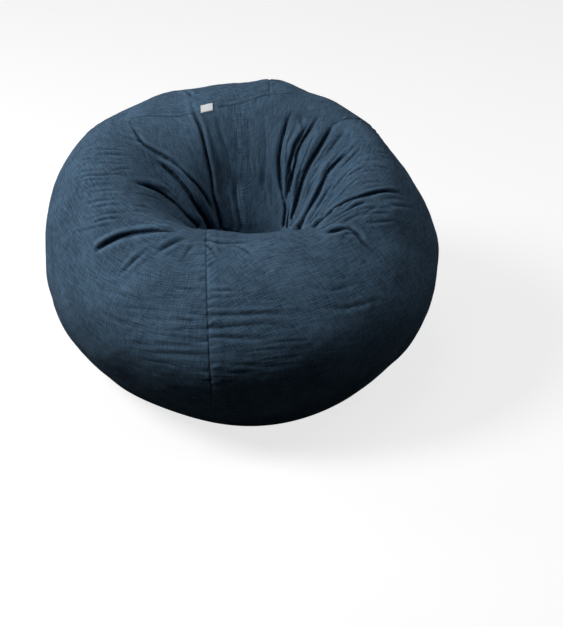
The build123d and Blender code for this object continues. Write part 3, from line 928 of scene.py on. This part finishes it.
def twisted(name, dark, pale):
    """Sewing thread: fine slanting strands with a soft shine."""
    m = Nodes(bpy.data.materials.new(name))
    place = m.add("ShaderNodeTexCoord", out=3)
    strand = m.wave(place, "DIAGONAL", 300.0)
    spot = m.noise(place, scale=220.0)
    m.shade(Base_Color=m.mix(m.math("MULTIPLY", strand, spot), dark, pale))
    m.shade(Roughness=m.span(spot, 0.3, 0.7, 0.6, 0.8))
    m.shade(Normal=m.bump(strand, 0.0001, 0.7), Sheen_Weight=0.1)
    return m.owner


def moulded(name, dark, pale, rough, metal=0.0):
    """Nylon or lacquered metal, a little scuffed."""
    m = Nodes(bpy.data.materials.new(name))
    place = m.add("ShaderNodeTexCoord", out=3)
    scuff = m.noise(place, scale=900.0, detail=4.0)
    cloud = m.noise(place, scale=120.0)
    m.shade(Base_Color=m.mix(m.math("MULTIPLY", scuff, cloud, clamp=True), dark, pale))
    m.shade(Roughness=m.span(scuff, 0.3, 0.7, *rough))
    m.shade(Normal=m.bump(scuff, 0.00005, 0.5), Metallic=metal)
    return m.owner


def beaded(name, dark, pale):
    """Loose expanded beads, 3 to 5 mm across, pressed together."""
    m = Nodes(bpy.data.materials.new(name))
    place = m.add("ShaderNodeTexCoord", out=3)
    bead = m.add("ShaderNodeTexVoronoi", Vector=place, Scale=230.0, Randomness=0.8)
    tint = m.add("ShaderNodeSeparateColor", bead.node.outputs[1])
    m.shade(Base_Color=m.mix(tint, dark, pale))
    m.shade(Roughness=m.span(bead, 0.0, 0.6, 0.55, 0.8))
    m.shade(Normal=m.bump(m.math("SUBTRACT", 1.0, bead), 0.002, 1.0))
    return m.owner


LABEL_WEAVE = {"thread": 0.0004, "rough": (0.5, 0.65), "bump": 0.0001}
LACQUER = {"rough": (0.28, 0.45), "metal": 0.6}
MATERIALS = {}
for slot, maker, dark, pale, more in (
    # the cover's creases get painted shade and its ridges get wear, from the cloth's attribute
    ("cover_cloth", woven, (0.022, 0.041, 0.066), (0.096, 0.170, 0.258), {"contrast": 1.9, "wear_and_crease_shade": 0.45}),
    ("base_cloth", woven, (0.026, 0.046, 0.070), (0.090, 0.155, 0.230), {}),
    ("cover_thread", twisted, (0.026, 0.048, 0.075), (0.070, 0.122, 0.182), {}),
    ("cover_zip_tape", woven, (0.014, 0.024, 0.038), (0.050, 0.075, 0.105), {"thread": 0.0006}),
    ("cover_zip_coil", moulded, (0.020, 0.030, 0.045), (0.060, 0.080, 0.110), {"rough": (0.35, 0.5)}),
    ("zip_metal", moulded, (0.045, 0.050, 0.060), (0.130, 0.135, 0.145), LACQUER),
    ("label_cloth", woven, (0.68, 0.70, 0.72), (0.86, 0.87, 0.88), LABEL_WEAVE),
    ("liner_cloth", woven, (0.70, 0.70, 0.68), (0.84, 0.84, 0.82), {"thread": 0.0007, "bump": 0.0002}),
    ("liner_thread", twisted, (0.66, 0.66, 0.64), (0.82, 0.82, 0.80), {}),
    ("liner_zip_tape", woven, (0.70, 0.70, 0.68), (0.84, 0.84, 0.82), {"thread": 0.0006, "bump": 0.0002}),
    ("liner_zip_coil", moulded, (0.72, 0.72, 0.70), (0.86, 0.86, 0.84), {"rough": (0.35, 0.5)}),
    ("beads", beaded, (0.82, 0.82, 0.81), (0.93, 0.93, 0.92), {}),
):
    MATERIALS[slot] = maker(slot, dark, pale, **more)
SLOT_OF = {part["node"]: part["material_slot"] for part in frame["record"]["subparts"]}


def dressed(obj, *nodes, body="bag"):
    """The piece stands for these nodes, rides on their body and takes their material."""
    slot = SLOT_OF[nodes[0]]
    obj.data.materials.clear()
    obj.data.materials.append(MATERIALS[slot])
    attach(obj, body)
    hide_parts(*nodes)


def thickened(obj, thickness, offset=-1.0):
    modifier = obj.modifiers.new("cloth_thickness", "SOLIDIFY")
    modifier.thickness = thickness
    modifier.offset = offset


def round_mesh(points, first=None, last=None):
    """Points and quads of a grid closed all round, its first or last row drawn together at a middle."""
    columns, rows = points.shape[:2]
    flat = points.reshape(-1, 3)
    faces = [grid_faces(columns, rows, True)]
    pair = np.arange(0, columns, 2)
    for middle, row in ((first, 0), (last, rows - 1)):
        if middle is None:
            continue
        rim = [(pair + k) % columns * rows + row for k in range(3)]
        fan = np.stack((np.full(len(pair), len(flat)), *rim), -1)
        faces.append(fan if row == 0 else fan[:, ::-1])
        flat = np.concatenate((flat, np.asarray(middle, float)[None]))
    return flat, np.concatenate(faces)


def cloth_piece(
    name, points, uv, node, faces=None, wear_and_crease_shade=None, held="stretched", rests_on=("bead_fill",), thick=0.0012
):
    """One cut piece of the cover or liner as its own sheet."""
    if faces is None:
        faces = grid_faces(*points.shape[:2], False)
    obj = mesh_object(name, points, faces, uv)
    # the wear on ridges and the painted shade in creases, for the material to read
    if wear_and_crease_shade is not None:
        values = np.ascontiguousarray(wear_and_crease_shade, dtype=np.float32).ravel()
        obj.data.attributes.new("wear_and_crease_shade", "FLOAT", "POINT").data.foreach_set("value", values)
    dressed(obj, node)
    thickened(obj, thick)


def gore_uv(points):
    """Weave coordinates of a side panel: true widths across, measured from its middle, and lengths down."""
    across = summed(np.linalg.norm(np.diff(points, axis=0), axis=-1), 0)
    across = across - across[-1:] / 2
    down = summed(np.linalg.norm(np.diff(points, axis=1), axis=-1), 1).mean(0, keepdims=True)
    return np.stack((across, -down + 0 * across), -1)


def draped_uv(points):
    """Weave coordinates of cloth pressed into the seat: the threads run left to right and front to back."""
    radius = np.hypot(points[..., 0], points[..., 1])
    turn = np.arctan2(points[:, TOP_ROW, 0], -points[:, TOP_ROW, 1])[:, None]
    out, down = np.diff(radius, axis=1), np.diff(points[..., 2], axis=1)
    shares = np.sin(turn), -np.cos(turn)
    return np.stack([summed(share * np.sqrt(out**2 + (down * share) ** 2), 1) for share in shares], -1)


# The five cut pieces above the base
INNER_ROW = 3
around_again = np.concatenate((np.arange(COLUMNS), (0,)))
top_rows = slice(INNER_ROW, TOP_ROW + 1)
top_points, top_faces = round_mesh(fine[:, top_rows], first=fine[:, 0].mean(0))
top_uv = draped_uv(cubic(cubic(plain, FINE, 0, True), FINE, 1, False))[:, top_rows, ::-1].reshape(-1, 2)
top_uv = np.concatenate((top_uv, np.zeros((1, 2))))
# the top panel's wear on ridges and painted shade in creases
top_wear_and_shade = np.append(WEAR_AND_CREASE_SHADE[:, top_rows].ravel(), 0.0)
cloth_piece("top_panel_cloth", top_points, top_uv, "top_panel", top_faces, wear_and_crease_shade=top_wear_and_shade, held="gathered")
PANELS = {
    "side_panel_front_right": ("front", "right"),
    "side_panel_back_right": ("right", "back"),
    "side_panel_back_left": ("back", "left"),
    "side_panel_front_left": ("left", "front"),
}
for node, (start, end) in PANELS.items():
    first, last = SEAM_COLUMNS[start], SEAM_COLUMNS[end]
    picked = np.arange(first, (last if last > first else COLUMNS) + 1) % COLUMNS
    cut = fine[picked][:, TOP_ROW:]
    cloth_piece(node + "_cloth", cut, gore_uv(cut), node, wear_and_crease_shade=WEAR_AND_CREASE_SHADE[picked][:, TOP_ROW:])


def tube(paths, normals, radius, sides=5):
    """Points and quads of round tubes along many paths of equal length, [path, step]."""
    paths = np.asarray(paths, float)
    count, steps = paths.shape[:2]
    run = unit(np.gradient(paths, axis=1))
    side = unit(np.cross(run, normals))
    up = np.cross(side, run)
    turn = np.arange(sides) * 2 * np.pi / sides
    width = np.asarray(radius, float) * np.ones(steps)
    ring = np.cos(turn)[:, None] * side[..., None, :] + np.sin(turn)[:, None] * up[..., None, :]
    points = paths[..., None, :] + ring * width[:, None, None]
    i, j, k = np.meshgrid(np.arange(count), np.arange(steps - 1), np.arange(sides), indexing="ij")
    base = (i * steps + j) * sides
    after = (k + 1) % sides
    faces = np.stack((base + k, base + after, base + sides + after, base + sides + k), -1).reshape(-1, 4)
    return points.reshape(-1, 3), faces


STITCH_GAP, STITCH_RADIUS = 0.0010, 0.00042
STITCH_RISE = np.array((-0.6, 0.8, 1.0, 0.8, -0.6))
STITCH_TAPER = np.array((0.35, 0.9, 1.0, 0.9, 0.35))


def stitches(name, node, lines, length=0.0034, lift=0.0004):
    """Lock stitches along lines of (points, normals): each dips into the cloth at both ends."""
    paths, ups = [], []
    for points, out in lines:
        place = run_along(points)
        starts = np.arange(0.0, place[-1] - length, length + STITCH_GAP)
        along_each = starts[:, None] + np.linspace(0, length, 5)[None, :]
        up = unit(sampled(out, place, along_each))
        paths.append(sampled(points, place, along_each) + up * (lift * STITCH_RISE)[None, :, None])
        ups.append(up)
    points, faces = tube(np.concatenate(paths), np.concatenate(ups), STITCH_RADIUS * STITCH_TAPER)
    dressed(mesh_object(name, points, faces), node)


normals = normals_of(fine)
for name, column in SEAM_COLUMNS.items():
    rows = slice(TOP_ROW + 2, LAST_ROW - 2)
    stitches(f"{name}_seam_stitches", f"{name}_seam_thread", [(fine[column, rows], normals[column, rows])])
line = (fine[around_again, TOP_ROW], normals[around_again, TOP_ROW])
stitches("top_seam_stitches", "top_seam_thread", [line])

# The base: two halves from the sides' lower edge to the zip, with the hem turned up beside it
BASE_THICK = 0.0010
ZIP_HALF, STOP, TAPE = 0.300, 0.004, 0.014
TAPE_UNDER, TAPE_THICK = 0.0006, 0.0006  # how far the tape reaches under the coil, and how thick it is
ROW_OUTER, SLOT_HALF, HEM = 0.0034, 0.0048, 0.016
COIL_TURNS, COIL_WIRE, COIL_RISE = 375, 0.00034, 0.00085
COIL_HOOK = 0.0005  # how far each row of coil reaches past the middle into the other
HALVES = (("front", -1), ("back", 1))


def ends_at(edge, y):
    """The left and right points where a round edge crosses a line along X."""
    after = np.roll(edge, -1, axis=0)
    crossing = (edge[:, 1] > y) != (after[:, 1] > y)
    share = (y - edge[crossing, 1]) / (after[crossing, 1] - edge[crossing, 1])
    ends = edge[crossing] + (after[crossing] - edge[crossing]) * share[:, None]
    return ends[np.argmin(ends[:, 0])], ends[np.argmax(ends[:, 0])]


def base_half(edge, y, z, sign, steps, hem_height, wave):
    """A half of a base as [column, row], from its round edge to the zip's slot and up into the hem."""
    side = edge[(edge[:, 1] - y) * sign > 0]
    order = np.argsort(np.arctan2((side[:, 1] - y) * sign, side[:, 0]))[::-1]
    left, right = ends_at(edge, y)
    side = np.concatenate((left[None], side[order], right[None]))
    share = run_along(side)
    share = share / share[-1]
    even = np.linspace(0, 1, 241)
    side = sampled(side, share, even)
    width = right[0] - left[0]
    x = left[0] + width * (0.5 - 0.5 * np.cos(np.pi * even)) * 0.5 + width * even * 0.5
    inside = np.clip((ZIP_HALF + STOP - np.abs(x)) / 0.010, 0, 1)
    slot_edge = np.stack((x, y + sign * (0.0002 + (SLOT_HALF - 0.0002) * inside), np.full(len(x), z)), -1)
    t = np.linspace(0, 1, steps)[None, :, None]
    flat = side[:, None] * (1 - t) + slot_edge[:, None] * t
    lower = np.clip(t[..., 0] / 0.04, 0, 1)
    flat[..., 2] = side[:, None, 2] * (1 - lower) + z * lower
    ripple = np.clip(t[..., 0] * 6, 0, 1) * np.clip((1 - t[..., 0]) * 4, 0, 1)
    flat[..., 2] += wave * ripple * np.maximum(lumps(flat, 0.09, 30, 11) + 0.2, 0)
    turned = []
    for out, up in ((0.0, 0.35), (0.0, 0.75), (0.0012, 1.0), (HEM * 0.5, 1.0), (HEM, 1.0)):
        row = slot_edge.copy()
        row[:, 1] += sign * out * (0.2 + 0.8 * inside)
        row[:, 2] += hem_height * up * (0.3 + 0.7 * inside)
        turned.append(row)
    return np.concatenate((flat, np.stack(turned, 1)), 1)


def base_piece(name, node, points, sign, rests_on, thick):
    uv = np.stack((points[..., 0], points[..., 1]), -1)
    if sign > 0:
        points, uv = points[::-1], uv[::-1]
    cloth_piece(name, points, uv, node, held="stretched", rests_on=rests_on, thick=thick)


bottom = fine[:, LAST_ROW]
for half, sign in HALVES:
    points = base_half(bottom, 0.0, 0.0002, sign, 60, 0.0030, 0.0003)
    base_piece(f"base_panel_{half}_cloth", f"base_panel_{half}", points, sign, ("bead_fill",), BASE_THICK)
rim = bottom[around_again]
seam = [(rim + (0, 0, 0.0012), unit(rim * (1, 1, 0)))]
stitches("base_seam_stitches", "base_seam_thread", seam, length=0.0040)


def end_seams(name, node, edge, y, z):
    """Stitches in the short seams from a zip's ends to the base's round edge."""
    reach = np.abs(edge[np.abs(edge[:, 1] - y) < 0.02, 0]).min()
    lines = []
    for sign in (-1, 1):
        x = np.linspace(sign * (ZIP_HALF + STOP + 0.002), sign * (reach - 0.004), 200)
        line = np.stack((x, np.full(len(x), y), np.full(len(x), z)), -1)
        lines.append((line, np.tile((0.0, 0.0, -1.0), (len(x), 1))))
    stitches(name, node, lines, lift=0.0003)


end_seams("base_centre_seam_stitches", "base_centre_seam_thread", bottom, 0.0, 0.0008)


def zip_pieces(name, y, middle):
    """Woven tapes, coiled teeth and the metal parts of a zip along X."""
    for half, sign in HALVES:
        x = np.linspace(-ZIP_HALF - STOP, ZIP_HALF + STOP, 305)
        across = np.linspace(ROW_OUTER - TAPE_UNDER, ROW_OUTER + TAPE, 9)
        points = np.stack(np.broadcast_arrays(x[:, None], y + sign * across[None, :], middle), -1).copy()
        points[..., 2] += 0.00012 * np.sin(x * 700 + sign)[:, None] * (across - ROW_OUTER)[None, :] / TAPE
        uv = np.stack((points[..., 1], points[..., 0]), -1)
        if sign < 0:
            points, uv = points[::-1], uv[::-1]
        tape = mesh_object(f"{name}_tape_{half}_woven", points, grid_faces(*points.shape[:2], False), uv)
        dressed(tape, f"{name}_tape_{half}")
        thickened(tape, TAPE_THICK, 0.0)
        turn = np.arange(COIL_TURNS * 10 + 1) * 2 * np.pi / 10
        x = np.linspace(-ZIP_HALF, ZIP_HALF, len(turn))
        turn = turn + np.pi * (sign > 0)
        reach_in, reach_out = COIL_WIRE - COIL_HOOK, ROW_OUTER - COIL_WIRE
        across = (reach_in + reach_out) / 2 - (reach_out - reach_in) / 2 * np.cos(turn)
        line = np.stack((x, y + sign * across, middle + COIL_RISE * np.sin(turn)), -1)
        points, faces = tube(line[None], np.tile((1.0, 0.0, 0.0), (1, len(line), 1)), COIL_WIRE, 4)
        dressed(mesh_object(f"{name}_coil_{half}_teeth", points, faces), f"{name}_coil_{half}")
    for part in ("slider", "stops"):
        node = frame["nodes"][f"{name}_{part}"]
        node.data.materials.clear()
        node.data.materials.append(MATERIALS["zip_metal"])


COVER_ZIP, LINER_ZIP = (0.0, 0.0039), (-0.130, 0.0043)
zip_pieces("cover_zip", *COVER_ZIP)
zip_pieces("liner_zip", *LINER_ZIP)

# The liner and the beads follow the cover's smoothed form from inside
cover_tree = tree_of(fine)
LINER_ROOM, SEAT_ROOM = 0.004, 0.030  # room between liner and cover everywhere, and more in the seat


def inside_of(depth, times):
    """The plain form drawn inwards, more under the folds, until it clears the cover by the depth."""
    points = smoothed(plain, times)
    inward = -normals_of(points)
    sink = depth + LINER_ROOM + SEAT_ROOM / (1 + np.exp((along - 0.60) / 0.05))
    for _ in range(2):
        placed = (points + inward * sink[..., None]).reshape(-1, 3)
        short = np.zeros((len(placed), 1))
        for k, point in enumerate(placed):
            place, normal, _, _ = cover_tree.find_nearest(Vector(point))
            short[k] = depth - (place - Vector(point)).dot(normal)
        short = np.clip(short, 0.0, 0.010).reshape(*sink.shape, 1)
        sink = sink + 1.3 * smoothed(short, 16)[..., 0]
    points = points + inward * sink[..., None]
    points[..., 2] = np.maximum(points[..., 2], 0.0)
    return points


liner = inside_of(0.010, 20)
liner = liner + normals_of(liner) * (0.0012 * lumps(liner, 0.05, 40, 21))[..., None]
LINER_SEAM, LINER_THICK = 0.030, 0.0006
heights = liner[..., 2]
seam_row = int(np.argmax((heights[:, TOP_ROWS:] < LINER_SEAM).all(0))) + TOP_ROWS
liner[:, seam_row, 2] = LINER_SEAM
liner_again = np.concatenate((np.arange(liner.shape[0]), (0,)))
upper_points, upper_faces = round_mesh(liner[:, 2 : seam_row + 1], first=liner[:, 0].mean(0))
run_out, turned = along[:, 2 : seam_row + 1], angle[:, 2 : seam_row + 1]
upper_uv = np.stack((run_out * np.sin(turned), -run_out * np.cos(turned)), -1).reshape(-1, 2)
upper_uv = np.concatenate((upper_uv, np.zeros((1, 2))))
held = {"held": "gathered", "thick": LINER_THICK}
cloth_piece("liner_upper_cloth", upper_points, upper_uv, "liner_upper", upper_faces, **held)
edge = liner[:, seam_row].copy()
FOOT_ROOM = 0.010
OVER_ZIP, OVER_ZIP_HALF = 0.0048, 0.024  # how high and how widely the liner lies over the cover's zip


def kept_in(points):
    """The liner's base with its low edge drawn in, clear of the cover's foot."""
    turn = np.arctan2(points[..., 0], -points[..., 1])
    reach = []
    for line in (edge, bottom):
        at = np.arctan2(line[:, 0], -line[:, 1])
        reach.append(np.interp(turn, at, np.hypot(line[:, 0], line[:, 1]), period=2 * np.pi))
    height = np.clip(points[..., 2] / LINER_SEAM, 0, 1)
    most = reach[0] * height + np.minimum(reach[0], reach[1] - FOOT_ROOM) * (1 - height)
    drawn = np.minimum(1, most / np.hypot(points[..., 0], points[..., 1]))
    return points * np.stack((drawn, drawn, np.ones(drawn.shape)), -1)


for half, sign in HALVES:
    points = base_half(edge, LINER_ZIP[0], 0.0020, sign, 90, 0.0018, 0.0)
    beside_zip = np.clip((ZIP_HALF + STOP + 0.02 - np.abs(points[..., 0])) / 0.02, 0, 1)
    points[..., 2] += OVER_ZIP * beside_zip * np.exp(-((points[..., 1] / OVER_ZIP_HALF) ** 4))
    points = kept_in(points)
    below = (f"base_panel_{half}_cloth",)
    base_piece(f"liner_base_{half}_cloth", f"liner_base_{half}", points, sign, below, LINER_THICK)
rim = edge[liner_again]
stitches("liner_seam_stitches", "liner_seam_thread", [(rim, unit(rim * (1, 1, 0)))])
end_seams("liner_centre_seam_stitches", "liner_centre_seam_thread", edge, LINER_ZIP[0], 0.0026)

BEADS_FLOOR = 0.0100
beads = liner - normals_of(liner) * 0.004
beads_middle = beads[:, 0].mean(0)
beads = beads[:, 2:]
beads[..., 2] = np.maximum(beads[..., 2], BEADS_FLOOR)
beads = beads + normals_of(beads) * (0.0009 * lumps(beads, 0.012, 60, 31))[..., None]
last = beads[:, -1]
inward = np.linspace(0, 1, 22)[1:-1]
middle = (0.0, 0.0, BEADS_FLOOR)
under = last[:, None] * (1 - inward[None, :, None]) + middle * inward[None, :, None]
under[..., 2] = last[:, None, 2] * np.clip(1 - inward * 6, 0, 1) + BEADS_FLOOR * np.clip(inward * 6, 0, 1)
fill_points, fill_faces = round_mesh(np.concatenate((beads, under), 1), beads_middle, middle)
bead_fill = mesh_object("bead_fill_beads", fill_points, fill_faces)
dressed(bead_fill, "bead_fill")

# The label: a blank white ribbon folded in two, sewn into the top seam, its free end turned up a little
LABEL_STEPS, LABEL_THICK = 26, 0.0003
out = np.linspace(0.0, LABEL_HEIGHT, LABEL_STEPS)
lift = label_rise(out)
lower = np.stack((out, lift), -1)
bend = np.linspace(0, np.pi, 7)
free_end = LABEL_HEIGHT + 0.0005 * np.sin(bend), lift[-1] + LABEL_LAYERS / 2 * (1 - np.cos(bend))
upper_layer = np.stack((out[::-1], lift[::-1] + LABEL_LAYERS), -1)
path = np.concatenate((lower, np.stack(free_end, -1)[1:-1], upper_layer))
across = np.linspace(-0.5, 0.5, 19) * LABEL_WIDTH
waves = 0.0004 * np.sin(across * 260 + 0.6)[:, None] * (path[None, :, 0] / LABEL_HEIGHT)
label_points = (
    LABEL_HINGE
    + LABEL_AXIS * (across[:, None] + LABEL_LEAN * path[None, :, 0])[..., None]
    + LABEL_ALONG * path[None, :, :1]
    + LABEL_NORMAL * (path[None, :, 1] + waves)[..., None]
)
label_uv = np.stack(np.broadcast_arrays(across[:, None], run_along(path)[None, :]), -1)
label = mesh_object("label_ribbon", label_points, grid_faces(*label_points.shape[:2], False), label_uv)
dressed(label, "label", body="label")
thickened(label, LABEL_THICK, 0.0)

# Studio: pale floor, white beyond it, a soft lamp from the upper left and weak light from all round
WHITE = (1.0, 1.0, 1.0, 1.0)
m = Nodes(bpy.data.materials.new("floor"))
m.tree.nodes.remove(m.shader)
speck = m.noise(m.add("ShaderNodeTexCoord", out=3), scale=3.0)
grey = m.mix(speck, (FLOOR_SHOWN - 0.01,) * 3, (FLOOR_SHOWN + 0.01,) * 3)
glow = m.add("ShaderNodeEmission", Color=WHITE, Strength=FLOOR_GLOW)
shown = m.add("ShaderNodeAddShader", m.add("ShaderNodeBsdfDiffuse", Color=grey), glow)
bounced = m.add("ShaderNodeBsdfDiffuse", Color=(FLOOR_BOUNCE,) * 3 + (1,))
both = m.add("ShaderNodeMixShader", m.add("ShaderNodeLightPath"), bounced, shown)
m.put(m.tree.nodes["Material Output"].inputs[0], both)
FLOOR_DROP = 0.0006  # the floor lies this far under the bag
corners = [(x, y, -FLOOR_DROP) for x, y in ((-9, -9), (9, -9), (9, 9), (-9, 9))]
floor = mesh_object("floor", corners, np.array(((0, 1, 2, 3),)), smooth=False)
floor.data.materials.append(m.owner)

m = Nodes(bpy.data.worlds.new("studio"))
bpy.context.scene.world = m.owner
m.tree.nodes.remove(m.tree.nodes["Background"])
rays = ("Is Camera Ray", "Is Glossy Ray", "Is Transmission Ray")
camera, glossy, clear = [m.add("ShaderNodeLightPath", out=ray) for ray in rays]
shown = m.math("MAXIMUM", camera, m.math("MAXIMUM", glossy, clear))
plain_sky = m.add("ShaderNodeBackground", Color=(0.93, 0.96, 1.0, 1), Strength=AMBIENT)
white_sky = m.add("ShaderNodeBackground", Color=WHITE, Strength=1.0)
m.put(m.tree.nodes["World Output"].inputs[0], m.add("ShaderNodeMixShader", shown, plain_sky, white_sky))


def lamp(name, place, target, power, size):
    data = bpy.data.lights.new(name, "AREA")
    data.energy = power
    data.shape = "DISK"
    data.size = size
    obj = bpy.data.objects.new(name, data)
    obj.location = place
    obj.rotation_euler = (Vector(target) - Vector(place)).to_track_quat("-Z", "Y").to_euler()
    bpy.context.scene.collection.objects.link(obj)


for settings in LAMPS:
    lamp(*settings)
bpy.context.scene.view_settings.view_transform = "Standard"
